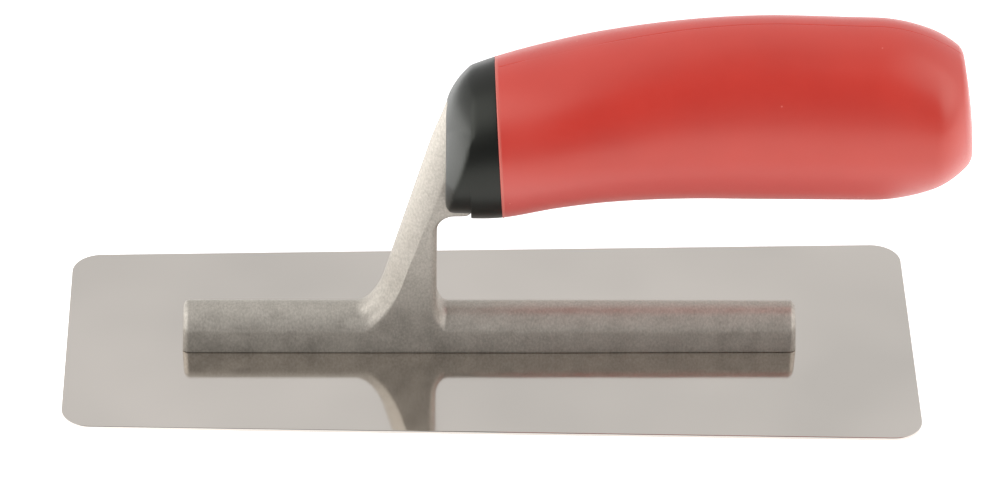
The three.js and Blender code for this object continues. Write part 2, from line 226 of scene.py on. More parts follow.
MM = 0.001  # sizes below are in millimetres, as on a drawing; make_piece turns them into metres
MERGE_DISTANCE = 2e-7  # metres; where two grids meet, their points differ by less
BLADE_LENGTH = 200
BLADE_HEEL_WIDTH = 80
BLADE_TOE_WIDTH = 70.3
BLADE_THICKNESS = 0.7
BLADE_CORNER_RADIUS = 7
BLADE_EDGE_RADIUS = 0.15
RIM = 0.12  # a narrow flat ring beside each edge, which keeps the big faces flat in reflections
STRIP_TOE, STRIP_HEEL, STRIP_SIDE = -71.15, 70.85, 5.2  # ends and half width of the rivets' strip
FIRST_RIVET, RIVET_PITCH, RIVET_COUNT = -60.3, 24, 6
RIVET_X = [FIRST_RIVET + RIVET_PITCH * step for step in range(RIVET_COUNT)]
HOLE_GAP = 0.3
HEAD_RADIUS, SHANK_RADIUS = 2.9, 1.6
CELL_STEPS, WIDTH_STEPS, ARC_STEPS = 24, 40, 16  # quads along a rivet's cell, across it, round a corner

cell_edges = [STRIP_TOE] + [x + RIVET_PITCH / 2 for x in RIVET_X[:-1]] + [STRIP_HEEL]
cell_xs = [np.linspace(first, last, CELL_STEPS + 1) for first, last in zip(cell_edges[:-1], cell_edges[1:])]
strip_xs = np.unique(np.concatenate(cell_xs).round(9))


def ring_rows(outer, inner, shares):
    """Rows between two closed loops of equally many points: straight lines, cut at the shares."""
    rows = outer + np.asarray(shares)[:, None, None] * (inner - outer)
    return np.concatenate([rows, rows[:, :1]], 1)


def rim_of(grid):
    """The points round a grid's edge as one closed loop, first down its first column."""
    return np.concatenate([grid[:-1, 0], grid[-1, :-1], grid[:0:-1, -1], grid[0, :0:-1]])


def flat_grid(xs, ys, z):
    """A level grid: x changes down the rows and y along them."""
    across, along = np.meshgrid(ys, xs)
    return np.stack([along, across, np.full_like(along, z)], -1)


def circle_like(loop, centre, radius):
    """The points of a circle that lie in the same directions from the centre as the loop's points."""
    spokes = loop[:, :2] - centre
    spokes = spokes / np.linalg.norm(spokes, axis=1, keepdims=True)
    return np.column_stack([centre + radius * spokes, loop[:, 2]])


def strip_cells(ys, z, radius):
    """Square grids with a round hole each, side by side along the strip, and the holes' rims."""
    cells, rims = [], []
    for xs, rivet_x in zip(cell_xs, RIVET_X):
        edge = rim_of(flat_grid(xs, ys, z))
        hole = circle_like(edge, (rivet_x, 0), radius)
        cells.append(ring_rows(edge, hole, (0, 0.4, 0.75, 0.97, 1)))
        rims.append(hole)
    return cells, rims


def make_piece(name, grids, material, node_names, sharp=38):
    """One skin from grids of points in millimetres: seams are merged, normals point outwards, and edges
    over the sharp angle stay sharp."""
    faces, points, start = [], [], 0
    for grid in grids:
        rows, columns = grid.shape[:2]
        corner = np.arange(rows * columns).reshape(rows, columns) + start
        quads = np.stack([corner[:-1, :-1], corner[1:, :-1], corner[1:, 1:], corner[:-1, 1:]], -1)
        faces.append(quads.reshape(-1, 4))
        points.append(grid.reshape(-1, 3))
        start += rows * columns
    mesh = bpy.data.meshes.new(name)
    mesh.from_pydata((np.concatenate(points) * MM).tolist(), [], np.concatenate(faces).tolist())
    skin = bmesh.new()
    skin.from_mesh(mesh)
    bmesh.ops.remove_doubles(skin, verts=skin.verts, dist=MERGE_DISTANCE)
    bmesh.ops.recalc_face_normals(skin, faces=skin.faces)
    skin.to_mesh(mesh)
    skin.free()
    mesh.shade_smooth()
    mesh.set_sharp_from_angle(angle=math.radians(sharp))
    mesh.materials.append(material)
    piece = bpy.data.objects.new(name, mesh)
    bpy.context.scene.collection.objects.link(piece)
    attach(piece, "root")
    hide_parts(*node_names)
    return piece


def blade_outline(inset):
    """Points round the trapezoid, moved inwards by inset: arcs that touch both sides, and straight lines
    between them. It starts where the corner at heel and -Y leaves the long side."""
    taper = (BLADE_HEEL_WIDTH - BLADE_TOE_WIDTH) / 2 / BLADE_LENGTH
    tilt = math.atan(taper)
    centre_x = BLADE_LENGTH / 2 - BLADE_CORNER_RADIUS
    middle = (BLADE_HEEL_WIDTH + BLADE_TOE_WIDTH) / 4
    reach = BLADE_CORNER_RADIUS - inset
    arcs = []
    for x, first, last in ((centre_x, 0, math.pi / 2 + tilt), (-centre_x, math.pi / 2 + tilt, math.pi)):
        y = middle + x * taper - BLADE_CORNER_RADIUS / math.cos(tilt)
        angle = np.linspace(first, last, ARC_STEPS + 1)
        arcs.append(np.column_stack([x + reach * np.cos(angle), y + reach * np.sin(angle)]))
    heel, toe = arcs
    far_heel, far_toe = (arc[::-1] * (1, -1) for arc in arcs)
    end_steps = WIDTH_STEPS - 2 * ARC_STEPS
    side_steps = len(strip_xs) - 1
    lines = []
    for start, end, steps in (
        (far_heel[-1], heel[0], end_steps),
        (heel[-1], toe[0], side_steps),
        (toe[-1], far_toe[0], end_steps),
        (far_toe[-1], far_heel[0], side_steps),
    ):
        lines.append(start + np.linspace(0, 1, steps + 1)[:, None] * (end - start))
    order = [far_heel, lines[0], heel, lines[1], toe, lines[2], far_toe, lines[3]]
    return np.concatenate([part[:-1] for part in order])


def blade_skin():
    """The sheet: on both faces strip cells and a flat collar round them, a rounded band round the edge,
    and a cone in each hole."""
    ys = np.linspace(-STRIP_SIDE, STRIP_SIDE, WIDTH_STEPS + 1)
    grids, rims = [], []
    for z, radius in ((0.0, HEAD_RADIUS + HOLE_GAP), (BLADE_THICKNESS, SHANK_RADIUS + HOLE_GAP)):
        cells, holes = strip_cells(ys, z, radius)
        strip_edge = rim_of(flat_grid(strip_xs[::-1], ys, z).swapaxes(0, 1))
        outer, inner = (np.column_stack([blade_outline(inset), strip_edge[:, 2]])
                        for inset in (BLADE_EDGE_RADIUS, BLADE_EDGE_RADIUS + RIM))
        grids += cells
        grids.append(ring_rows(strip_edge, inner, (0, 0.15, 0.4, 0.7, 1)))
        grids.append(ring_rows(inner, outer, (0, 1)))
        rims.append(holes)
    quarter = np.linspace(0, math.pi / 2, 5)
    low = [(BLADE_EDGE_RADIUS * (1 - math.sin(a)), BLADE_EDGE_RADIUS * (1 - math.cos(a))) for a in quarter]
    high = [(inset, BLADE_THICKNESS - z) for inset, z in reversed(low)]
    band = np.stack([np.insert(blade_outline(inset), 2, z, axis=1) for inset, z in low + high])
    grids.append(np.concatenate([band, band[:, :1]], 1))
    grids += [ring_rows(below, above, (0, 0.5, 1)) for below, above in zip(*rims)]
    return grids


def new_finish(name):
    """A new material, its node tree, its shader, and the place on the piece in metres."""
    material = bpy.data.materials.new(name)
    material.use_nodes = True
    tree = material.node_tree
    place = add_node(tree, "ShaderNodeTexCoord").outputs["Object"]
    return material, tree, tree.nodes["Principled BSDF"], place


def stretched(tree, place, scales):
    """The place in other units along each axis: a pattern gets shorter where the scale is high."""
    return add_node(tree, "ShaderNodeMapping", {"Vector": place, "Scale": scales}).outputs[0]


def noise(tree, place, scale, detail, roughness=0.5):
    """Soft random clouds. Detail counts the finer layers, roughness is their strength."""
    return add_node(tree, "ShaderNodeTexNoise", {"Vector": place, "Scale": scale, "Detail": detail,
                                                 "Roughness": roughness}).outputs["Fac"]


def two_tints(tree, value, edges, low, high):
    """The low tint up to the first edge, the high tint from the second, and a mix between them."""
    ramp = add_node(tree, "ShaderNodeValToRGB", {"Fac": value})
    for stop, edge, tint in zip(ramp.color_ramp.elements, edges, (low, high)):
        stop.position = edge
        stop.color = (*tint, 1)
    return ramp.outputs["Color"]


def relief(tree, height, strength, distance, **coarser):
    """The normal of a fine relief. It may lie on a coarser one, which is given as Normal."""
    return add_node(tree, "ShaderNodeBump", {"Height": height, "Strength": strength, "Distance": distance,
                                             **coarser}).outputs[0]


def steel_finish():
    """Mirror polish: a warm grey metal with very soft clouds, faint waves of the rolled sheet and hairline
    wiping marks."""
    steel, tree, shader, place = new_finish("polished_steel")
    clouds = noise(tree, place, scale=17, detail=2)
    wiping = noise(tree, stretched(tree, place, (60, 2600, 1)), scale=1, detail=3)
    waves = relief(tree, noise(tree, place, scale=45, detail=1), strength=0.02, distance=0.001)
    set_inputs(tree, shader, {
        "Base Color": two_tints(tree, clouds, (0.3, 0.7), low=(0.742, 0.689, 0.64),
                                high=(0.64, 0.601, 0.558)),
        "Roughness": remap(tree, wiping, given=(0.3, 0.8), wanted=(0.07, 0.11)),
        "Normal": relief(tree, wiping, strength=0.01, distance=0.0002, Normal=waves),
        "Metallic": 1.0,
    })
    return steel


polished_steel = steel_finish()
blade = make_piece("blade", blade_skin(), polished_steel, ["blade"])
panel_receivers.objects.link(blade)
panel_receivers.collection_objects[0].light_linking.link_state = "EXCLUDE"

# ---------- rivets ----------
# Countersunk aluminium rivets. Their heads are ground flush with the working face, and their shanks
# end in blind holes of the spine.

# radius and height: the head's flat face and broken edge, the cone, the shank and its rounded tip
RIVET_PROFILE = np.array([(0.0, 0.0), (1.4, 0.0), (2.5, 0.0), (2.82, 0.0), (2.87, 0.02), (2.88, 0.06),
                          (2.4, 0.32), (1.66, 0.69), (1.6, 0.78), (1.6, 3.0), (1.6, 5.2), (1.52, 5.44),
                          (1.3, 5.56), (0.9, 5.6), (0.0, 5.6)])
RIVET_STEPS = 96


def turned_skin(profile, x):
    """The profile's radii and heights, turned in equal steps round an upright axis at x."""
    angle = np.linspace(0, 2 * math.pi, RIVET_STEPS + 1)
    radius, height = profile[:, :1], profile[:, 1:]
    return np.stack([x + radius * np.cos(angle), radius * np.sin(angle), height + 0 * angle], -1)


def rivet_finish():
    """Ground aluminium: a dull grey with fine grinding lines across the blade."""
    metal, tree, shader, place = new_finish("rivet_aluminium")
    lines = noise(tree, stretched(tree, place, (4000, 500, 500)), scale=1, detail=3)
    set_inputs(tree, shader, {
        "Base Color": two_tints(tree, lines, (0.3, 0.7), low=(0.42, 0.41, 0.39), high=(0.55, 0.54, 0.51)),
        "Roughness": remap(tree, lines, given=(0.3, 0.7), wanted=(0.32, 0.45)),
        "Normal": relief(tree, lines, strength=0.2, distance=0.00005),
        "Metallic": 1.0,
    })
    return metal


ground_aluminium = rivet_finish()
for number, rivet_x in enumerate(RIVET_X, 1):
    make_piece(f"rivet_{number}", [turned_skin(RIVET_PROFILE, rivet_x)], ground_aluminium,
               [f"rivet_{number}"])

# ---------- bracket ----------
# One sand-blasted aluminium casting: the half-round spine, the leaning D-shaped post with its flared
# foot, the lip under the handle's nose, and, inside the handle, the root and the tapered tang.

# The spine's section as distances along it from its top, and its slope there in degrees: a narrow
# crown, the shoulder, a side with draft, and the bottom edge.
SECTION_AT = (0, 0.25, 4.1, 5.85, 7.85, 12.95, 13.36)
SECTION_TURN = (0, 0, 50, 55, 84.5, 84.5, 180)
CROWN, SHOULDER_END, SIDE_END, SKIRT = (SECTION_AT[i] for i in (1, 4, 5, 6))
SPINE_END_ROUND = 1.05
SPINE_END_POWER = 1.5  # 2 would be an arc, 1 a bevel
END_DRAFT = 0.03  # slope of the ends, so that the casting leaves its mould
TAPER_FROM, HEEL_SHARE = 15, 0.94  # x where it starts to narrow, and the share left at the heel end
BORE_TOP = 6.0
GRAIN_SHARE = 0.7  # part of the grain in the metal's colour; the rest is the blotches

POST_SIDE = 5.45  # half width
POST_HEEL = -12.75
POST_DEPTH = 18.0  # from the heel side to the toe side, at the blade's working face
POST_CORNER, LIP_CORNER = 1.7, 0.5  # rounding of the heel side's long edges, and of the lip's
CORNER_CHANGE = (33, 38.5)  # heights between which the one turns into the other
LEAN = math.tan(math.radians(16))
STEEPER_FROM, STEEPER_RISE, STEEPER_BY = 56, 11.4, 0.62  # the toe side stands back by the last at its top
TOP_ROUND_FROM, TOP_ROUND_HEIGHT, TOP_ROUND_DEPTH = 66.7, 2.0, 2.2  # its rounded upper edge
TOE_ROUND_AT = (15.7, 20, 25, 30, 34, 38, 50)  # heights, and the half-round toe side's depth there
TOE_ROUND_DEPTH = (3.8, 4.2, 4.3, 4.7, 4.8, 5.3, 5.6)
TOE_POWER = 1.7  # 1 would be a half ellipse; more gives flatter cheeks and a tighter turn into the sides
FOOT_POWER = 2.15  # the same at the foot, where both long edges are nearly sharp
POWER_CHANGE = (23, 36)  # heights between which the one turns into the other
FOOT_LEVEL, HEEL_LEVEL = 20.0, 13.9  # where the foot's flare ends, at the toe side and the heel side
FOOT_SIDE = 8.8  # along the spine's section, where the foot's flat sides run into the spine's
FOOT_CORNER = 4.4  # its corners start so far inside that
FLARE_LEAVES = 0.45  # the flare leaves the spine with this share of the climb to its end
FLARE_PULL = 0.9  # weight of the slopes at its two ends
FLARE_CROWDING = 1.6  # crowds its rows near the spine
LIP_BEND = 35.0  # where the heel side starts to bend out under the nose
LIP_RADIUS = 4.0
LIP_END = ((-7.6, 39.0, 0, -1), (-6.4, 39.04, 0.1, -0.995), (-5.8, 39.2, 0.3, -0.954),
           (-5.45, 39.35, 0.5, -0.866), (-5.15, 39.62, 0.86, -0.51), (-5.0, 40.1, 1, 0))  # x, z, normal
ROOT_TOP = 68.7
ROOT_LEAN = 0.4  # its heel side ends so much nearer to the heel than it starts
ROOT_BEVEL = 0.4  # height of the bevel round its top
BEVEL_SHARE = 0.06  # the bevel draws each point in by this share of its way to the middle
TANG_START, TANG_END, TANG_MIDDLE = -4.2, 73.0, 61.6
TANG_FOOT = 53  # the tang's opening in the root starts above this
TANG_POWER = 7  # 2 would be an ellipse; more gives flatter sides
TANG_SECTIONS = ((TANG_START, 13.0, 8.6), (TANG_END - 1, 10, 6.6), (TANG_END - 0.3, 9.6, 6.2),
                 (TANG_END, 8.6, 5.2))  # x, height and width

# Quads round the post: along each flat side, round each corner of the heel side, and between those.
FLAT_STEPS, CORNER_STEPS, BACK_STEPS = 32, 12, 20
ROUND_STEPS = 2 * CORNER_STEPS + BACK_STEPS  # the heel side and the toe side have as many
CROWN_STEPS = 4
BLOCK_SIDE = 11.41  # the spine's grid is open round the foot so far along its section, down to z 2.5
BLOCK = (36, 36 + FLAT_STEPS)  # rows of the grid that are open there, from x -36.3 to -4.3
BLOCK_S = (6, 6 + ROUND_STEPS)  # and its columns, from -BLOCK_SIDE to BLOCK_SIDE

# The section, summed up from its slope in steps of 0.01 mm: half width and height at each distance.
fine_s = np.linspace(0, SKIRT, 1327)
fine_turn = np.radians(np.interp(fine_s, SECTION_AT, SECTION_TURN))
between = (fine_turn[1:] + fine_turn[:-1]) / 2
fine_y = np.concatenate([[0], np.cumsum(np.cos(between))]) * fine_s[1]
fallen = np.concatenate([[0], np.cumsum(np.sin(between))]) * fine_s[1]
fine_z = BLADE_THICKNESS + fallen[-1] - fallen

# Columns of the spine's grid: crown, shoulder, side as far as the block, rest of the side, bottom edge.
half_s = np.concatenate([
    np.linspace(0, CROWN, CROWN_STEPS + 1),
    np.linspace(CROWN, SHOULDER_END, 13)[1:],
    np.linspace(SHOULDER_END, BLOCK_SIDE, 7)[1:],
    np.linspace(BLOCK_SIDE, SIDE_END, 3)[1:],
    np.linspace(SIDE_END, SKIRT, 5)[1:],
])
spine_s = np.concatenate([-half_s[:0:-1], half_s])


def spine_point(x, s, inset=0.0):
    """The spine's skin at s, a distance along its section from the top's middle line: half width and
    height of the summed section, with sides and top drawn in by inset."""
    far = np.abs(s)
    turn = np.minimum(np.interp(far, fine_s, fine_turn), math.pi / 2)
    down = np.clip((far - SHOULDER_END) / (SIDE_END - SHOULDER_END), 0, 1)
    y = np.interp(far, fine_s, fine_y) - inset * np.sin(turn)
    z = np.interp(far, fine_s, fine_z) - inset * np.cos(turn) * (1 - down)
    over = np.minimum(x - STRIP_TOE, 0) + np.maximum(x - STRIP_HEEL, 0)
    return np.stack(np.broadcast_arrays(x + END_DRAFT * over * (fine_z[0] - z), np.sign(s) * y, z), -1)


def spine_out(s):
    """Outward normal of the spine's skin at s."""
    turn = np.interp(np.abs(s), fine_s, fine_turn)
    return np.stack([0 * s, np.sign(s) * np.sin(turn), np.cos(turn)], -1)


def spine_ends():
    """Rows of the rounded ends, as x and inset, from the end face to the straight part. Each rounding is
    a quarter of a superellipse."""
    turn = np.linspace(math.pi / 2, 0, 10)[:-1]
    drawn = SPINE_END_ROUND * (1 - np.cos(turn) ** (2 / SPINE_END_POWER))
    out = SPINE_END_ROUND * np.sin(turn) ** (2 / SPINE_END_POWER)
    return np.column_stack([STRIP_TOE - out, drawn]), np.column_stack([STRIP_HEEL + out, drawn])


def spine_skin():
    """Long grids round the section, leaving the foot's block open, end faces, underside and bores."""
    toe_end, heel_end = spine_ends()
    body = np.column_stack([strip_xs, np.zeros(len(strip_xs))])
    toe = np.concatenate([toe_end, body[:BLOCK[0] + 1]])
    heel = np.concatenate([body[BLOCK[1]:], heel_end[::-1]])
    middle = body[BLOCK[0]:BLOCK[1] + 1]
    grids = []
    for rows, columns in ((toe, spine_s), (heel, spine_s), (middle, spine_s[:BLOCK_S[0] + 1]),
                          (middle, spine_s[BLOCK_S[1]:])):
        grids.append(spine_point(rows[:, :1], columns[None, :], rows[:, 1:]))
    across = np.linspace(-1, 1, 2 * CROWN_STEPS + 1)
    for x, inset in (toe_end[0], heel_end[0]):
        crown = spine_point(x, CROWN * across, inset)
        below = spine_point(x, half_s[CROWN_STEPS + 1:], inset)[:, None]
        grids.append(np.concatenate([crown[None], below * (1, 0, 1) + below * across[:, None] * (0, 1, 0)]))
    for ends, last_x in ((toe_end, STRIP_TOE), (heel_end, STRIP_HEEL)):
        rows = np.concatenate([ends, [[last_x, 0]]])
        rim = spine_point(rows[:, 0], SKIRT, rows[:, 1])
        x, y = np.broadcast_arrays(rim[:, :1], rim[:, 1:2] * across)
        grids.append(np.stack([x, y, np.full_like(y, BLADE_THICKNESS)], -1))
    half_width = spine_point(0.0, SKIRT)[1]
    cells, rims = strip_cells(half_width * across, BLADE_THICKNESS, SHANK_RADIUS + HOLE_GAP)
    grids += cells
    for rim in rims:
        top = rim * (1, 1, 0) + (0, 0, BORE_TOP)
        grids.append(ring_rows(rim, top, (0, 0.5, 1)))
        grids.append(ring_rows(top, np.broadcast_to(top.mean(0), top.shape), (0, 0.5, 1)))
    return grids


def toe_line(z):
    """x of the post's leaning toe side, which steepens at its top to end flush with the nose's front."""
    rise = np.clip((z - STEEPER_FROM) / STEEPER_RISE, 0, 1)
    past = np.clip((z - TOP_ROUND_FROM) / TOP_ROUND_HEIGHT, 0, 0.95)  # held short of the level part
    round_off = TOP_ROUND_DEPTH * (1 - np.sqrt(1 - past ** 2))
    return POST_HEEL - POST_DEPTH + z * LEAN + STEEPER_BY * rise ** 2 * (3 - 2 * rise) + round_off


def heel_profile():
    """The heel side from the foot to the top, as x, z and the outward normal: straight, bent out by an
    arc, flat under the lip, over its end, and up the root."""
    rows = [(POST_HEEL, z, 1, 0) for z in np.linspace(HEEL_LEVEL, LIP_BEND, 11)[:-1]]
    for a in np.linspace(0, math.pi / 2, 9):
        rows.append((POST_HEEL + LIP_RADIUS * (1 - math.cos(a)), LIP_BEND + LIP_RADIUS * math.sin(a),
                     math.cos(a), -math.sin(a)))
    rows += LIP_END
    x, z = LIP_END[-1][:2]
    rows += [(x + ROOT_LEAN * share, z + (ROOT_TOP - ROOT_BEVEL - z) * share, 1, 0)
             for share in np.linspace(0, 1, 16)[1:]]
    return np.array(rows)


def joined_ring(heel_part, toe_part):
    """One ring from the heel side's points and the toe side's, with straight flats between them. It
    starts with the -Y flat. Both sides may be points in space or on the spine's skin."""
    shares = np.linspace(0, 1, FLAT_STEPS + 1)[:-1, None]
    near = toe_part[-1] + shares * (heel_part[0] - toe_part[-1])
    far = heel_part[-1] + shares * (toe_part[0] - heel_part[-1])
    return np.concatenate([near, heel_part[:-1], far, toe_part[:-1]])


def post_rings():
    """One ring per row of the heel profile. The heel side has two rounded corners, and the toe side is a
    half ellipse with flattened cheeks. The toe side's height runs on evenly, so the rings lean."""
    heel = heel_profile()
    toe_z = np.linspace(FOOT_LEVEL, ROOT_TOP - ROOT_BEVEL, len(heel))
    turn = np.linspace(0, math.pi / 2, CORNER_STEPS + 1)
    round_angle = np.linspace(0, math.pi, ROUND_STEPS + 1)
    rings = []
    for (x, z, normal_x, normal_z), z_toe in zip(heel, toe_z):
        corner = np.interp(z, CORNER_CHANGE, (POST_CORNER, LIP_CORNER))
        depth = corner * (1 - np.sin(turn))
        side = POST_SIDE - corner * (1 - np.cos(turn))
        flat_y = np.linspace(-1, 1, BACK_STEPS + 1)[1:-1] * (POST_SIDE - corner)
        heel_depth = np.concatenate([depth, 0 * flat_y, depth[::-1]])
        heel_y = np.concatenate([-side, flat_y, side[::-1]])
        heel_part = np.column_stack([x - normal_x * heel_depth, heel_y, z - normal_z * heel_depth])
        power = np.interp(z_toe, POWER_CHANGE, (FOOT_POWER, TOE_POWER))
        bulge = np.interp(z_toe, TOE_ROUND_AT, TOE_ROUND_DEPTH)
        toe_x = toe_line(z_toe) + bulge * (1 - np.abs(np.sin(round_angle)) ** power)
        toe_part = np.column_stack([toe_x, POST_SIDE * np.cos(round_angle), np.full_like(toe_x, z_toe)])
        rings.append(joined_ring(heel_part, toe_part))
    return np.stack(rings)


def foot_edge():
    """The closed line on the spine's skin, as x and s, where the foot starts, in the rings' order. The
    lists give its corners on one side of the middle line, at the foot's heel side and toe side."""
    heel_s = [0, 1.1, 3.7, 5.9, 7.1, 8.0, FOOT_SIDE]
    heel_x = [-10.1, -10.1, -10.1, -10.3, -10.55, -10.75, -10.9]
    toe_s = [0, 2.8, 4.4, 5.9, 7.1, 8.0, FOOT_SIDE]
    toe_x = [-32.4, -31.9, -31.2, -30.5, -30.0, -29.7, -29.4]
    corner = FOOT_SIDE - FOOT_CORNER
    spread = np.concatenate([np.linspace(-FOOT_SIDE, -corner, CORNER_STEPS + 1),
                             np.linspace(-corner, corner, BACK_STEPS + 1)[1:-1],
                             np.linspace(corner, FOOT_SIDE, CORNER_STEPS + 1)])
    heel = np.column_stack([np.interp(np.abs(spread), heel_s, heel_x), spread])
    turn = np.linspace(math.pi / 2, -math.pi / 2, ROUND_STEPS + 1)
    toe_spread = FOOT_SIDE * (0.5 * np.sin(turn) + turn / math.pi)
    toe = np.column_stack([np.interp(np.abs(toe_spread), toe_s, toe_x), toe_spread])
    return joined_ring(heel, toe)


def foot_skin(rings):
    """Two grids: the spine's skin round the foot's edge, and the flare from there up to the first ring.
    Each column of the flare is a cubic curve that leaves the spine's skin tangentially and meets the
    post's slope."""
    block = np.stack(np.meshgrid(strip_xs[BLOCK[0]:BLOCK[1] + 1], spine_s[BLOCK_S[0]:BLOCK_S[1] + 1],
                                 indexing="ij"), -1)
    edge = foot_edge()
    skin = ring_rows(rim_of(block), edge, np.linspace(0, 1, 9))
    start, end = spine_point(edge[:, 0], edge[:, 1]), rings[0]
    length = np.linalg.norm(end - start, axis=1, keepdims=True)
    out = spine_out(edge[:, 1])
    leave = (end - start) * (1, 1, FLARE_LEAVES)
    leave = leave - (leave * out).sum(1, keepdims=True) * out
    leave = leave / np.linalg.norm(leave, axis=1, keepdims=True) * length * FLARE_PULL
    arrive = rings[1] - rings[0]
    arrive = arrive / np.linalg.norm(arrive, axis=1, keepdims=True) * length * FLARE_PULL
    t = (np.linspace(0, 1, 29) ** FLARE_CROWDING)[:, None, None]
    rows = ((2 * t ** 3 - 3 * t ** 2 + 1) * start + (t ** 3 - 2 * t ** 2 + t) * leave
            + (3 * t ** 2 - 2 * t ** 3) * end + (t ** 3 - t ** 2) * arrive)
    return [spine_point(skin[..., 0], skin[..., 1]), np.concatenate([rows, rows[:, :1]], 1)]


def bar_loop(spokes, x, height, width):
    """A superellipse round the tang's middle line, its points in the directions of the spokes."""
    across = (np.abs(spokes[:, 0]) * 2 / width) ** TANG_POWER
    upwards = (np.abs(spokes[:, 1]) * 2 / height) ** TANG_POWER
    reach = (across + upwards) ** (-1 / TANG_POWER)
    return np.column_stack([np.full(len(spokes), x), spokes[:, 0] * reach,
                            TANG_MIDDLE + spokes[:, 1] * reach])


def root_skin(rings):
    """Post and root round the tang's opening, the tang, which grows out of it, and the root's top, which
    is closed by shrinking loops."""
    closed = np.concatenate([rings, rings[:, :1]], 1)
    low = int(np.searchsorted(heel_profile()[:, 1], TANG_FOOT))
    high = len(rings) - 2
    first, last = FLAT_STEPS, FLAT_STEPS + ROUND_STEPS
    grids = [closed[:low + 1], closed[high:], closed[low:high + 1, :first + 1], closed[low:high + 1, last:]]
    edge = rim_of(closed[low:high + 1, first:last + 1])
    spokes = edge[:, 1:] - (0, TANG_MIDDLE)
    spokes = spokes / np.linalg.norm(spokes, axis=1, keepdims=True)
    bar = [bar_loop(spokes, *section) for section in TANG_SECTIONS]
    grids.append(ring_rows(edge, bar[0], (0, 0.5, 1)))
    for near, far in zip(bar[:-1], bar[1:]):
        grids.append(ring_rows(near, far, np.linspace(0, 1, 13)))
    grids.append(ring_rows(bar[-1], np.broadcast_to(bar[-1].mean(0), bar[-1].shape), (0, 0.5, 1)))
    top = rings[-1]
    middle = top.mean(0) * (1, 1, 0) + (0, 0, ROOT_TOP)
    bevelled = top + BEVEL_SHARE * (middle - top) * (1, 1, 0)
    bevelled[:, 2] = ROOT_TOP
    grids.append(ring_rows(top, bevelled, (0, 1)))
    grids.append(ring_rows(bevelled, np.broadcast_to(middle, top.shape), (0, 0.5, 1)))
    return grids


def tapered(grid):
    """The grid with the spine, which is what lies below the foot's top, narrower at its heel end."""
    narrower = np.interp(grid[..., 0], (TAPER_FROM, STRIP_HEEL), (1, HEEL_SHARE))
    ones = np.ones_like(narrower)
    return grid * np.stack([ones, np.where(grid[..., 2] < FOOT_LEVEL, narrower, ones), ones], -1)


def bracket_skin():
    """Spine, foot, post, root and tang in one skin."""
    rings = post_rings()
    return [tapered(grid) for grid in spine_skin() + foot_skin(rings) + root_skin(rings)]


def casting_finish():
    """Blasted casting: warm grey metal with a fine, even grain and softer blotches of cast skin."""
    metal, tree, shader, place = new_finish("cast_aluminium")
    grain = noise(tree, stretched(tree, place, (2300, 1500, 1500)), scale=1, detail=3, roughness=0.6)
    blotch = noise(tree, place, scale=260, detail=2)
    mixed = add_math(tree, "ADD", add_math(tree, "MULTIPLY", grain, GRAIN_SHARE),
                     add_math(tree, "MULTIPLY", blotch, 1 - GRAIN_SHARE))
    set_inputs(tree, shader, {
        "Base Color": two_tints(tree, mixed, (0.33, 0.67), low=(0.402, 0.37, 0.325),
                                high=(0.586, 0.547, 0.49)),
        "Roughness": remap(tree, blotch, given=(0.3, 0.7), wanted=(0.49, 0.59)),
        "Normal": relief(tree, grain, strength=0.35, distance=0.00008),
        "Metallic": 0.75,
    })
    return metal


cast_aluminium = casting_finish()
make_piece("bracket", bracket_skin(), cast_aluminium, ["bracket"], sharp=50)

# ---------- handle core ----------
# Hard black plastic. Its nose and collar show in front of the grip, the rest fills the grip.

HANDLE_BASE = 38.6
HANDLE_HEIGHT, HANDLE_WIDTH = 45.2, 37.8
SECTION_POWER = 2.1  # 2 would be an ellipse

# The handle's shape at stations along the grip: its middle line above HANDLE_BASE and its height as
# shares of HANDLE_HEIGHT, and its width as a share of HANDLE_WIDTH.
STATION_SHARE = np.array([-0.12, 0, 0.12, 0.23, 0.4, 0.55, 0.75, 1.05])
STATION_CENTRE = np.array([0.367, 0.427, 0.502, 0.553, 0.595, 0.606, 0.6, 0.588])
STATION_HEIGHT = np.array([0.735, 0.845, 0.854, 0.889, 0.96, 1, 0.991, 0.973])
STATION_WIDTH = np.array([0.831, 0.921, 1, 0.984, 0.905, 0.868, 0.878, 0.889])

NOSE_FRONT, COLLAR_FRONT, GRIP_FRONT, GRIP_END = -10.9, -5.4, 1.6, 109.6
JOINT_LEAN, END_LEAN = 3.4, 6  # in degrees; the nose's front is upright
END_TOP_STRETCH, END_TOP_RADIUS = 22, 28.8  # the heel end's rounding on top and underneath
END_SIDE_STRETCH, END_SIDE_RADIUS = 8.6, 6  # and at its sides
NOSE_TOP_RADIUS, NOSE_BOTTOM_RADIUS = 6.5, 2.2
NOSE_EDGE_AT, NOSE_EDGE_RADIUS = (-0.6, -0.15, 0.2, 0.6), (0.95, 2.1, 4.0, 5.9)  # side edges, up its height
NOSE_SIDE_POWER = 1.12
NOSE_TAPER = 1.6  # the front's side edges draw in so many times further than they are deep
NOSE_TOP_DROP = 6.8  # height of the top's rounding, which is taller than it is deep
COLLAR_STEP, COLLAR_ROUND = 1.6, 0.35
STEP_UPRIGHT, STEP_DRAFT = 0.8, 0.02  # share of the step that is nearly upright, before its rounding
JOINT_GAP, BACK_ROUND = 0.25, 0.1  # the collar ends so far in front of GRIP_FRONT, with a softened edge
FILLING_INSET, FILLING_END = 3.0, 6.0  # the grip's wall and the gap, round the filling and at its end


